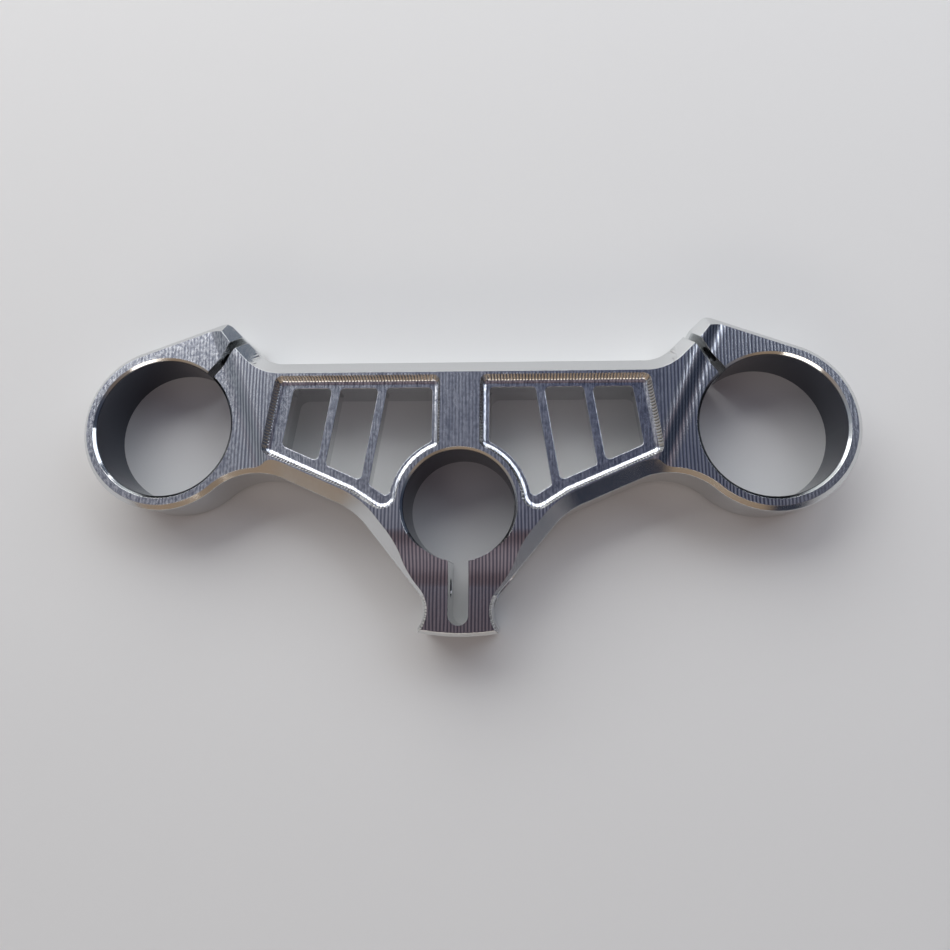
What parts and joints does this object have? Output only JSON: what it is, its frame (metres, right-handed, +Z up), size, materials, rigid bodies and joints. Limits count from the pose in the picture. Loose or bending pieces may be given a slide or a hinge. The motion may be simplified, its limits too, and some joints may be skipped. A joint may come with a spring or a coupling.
{
  "type": "motorcycle triple clamp",
  "caption": "Flat milled bridge with a split clamp ring at each end, a split boss for the steering stem, and a pocketed, windowed web.",
  "frame": {"origin": "steering stem axis at the bottom face", "axes": "+X along the line through both fork bores, +Y towards the front wheel, +Z up along the steering stem"},
  "size_m": [0.276, 0.1119, 0.0248],
  "materials": {
    "plate": "bare, as milled"
  },
  "bodies": {
    "root": {"triple_clamp": "plate"}
  },
  "joints": []
}
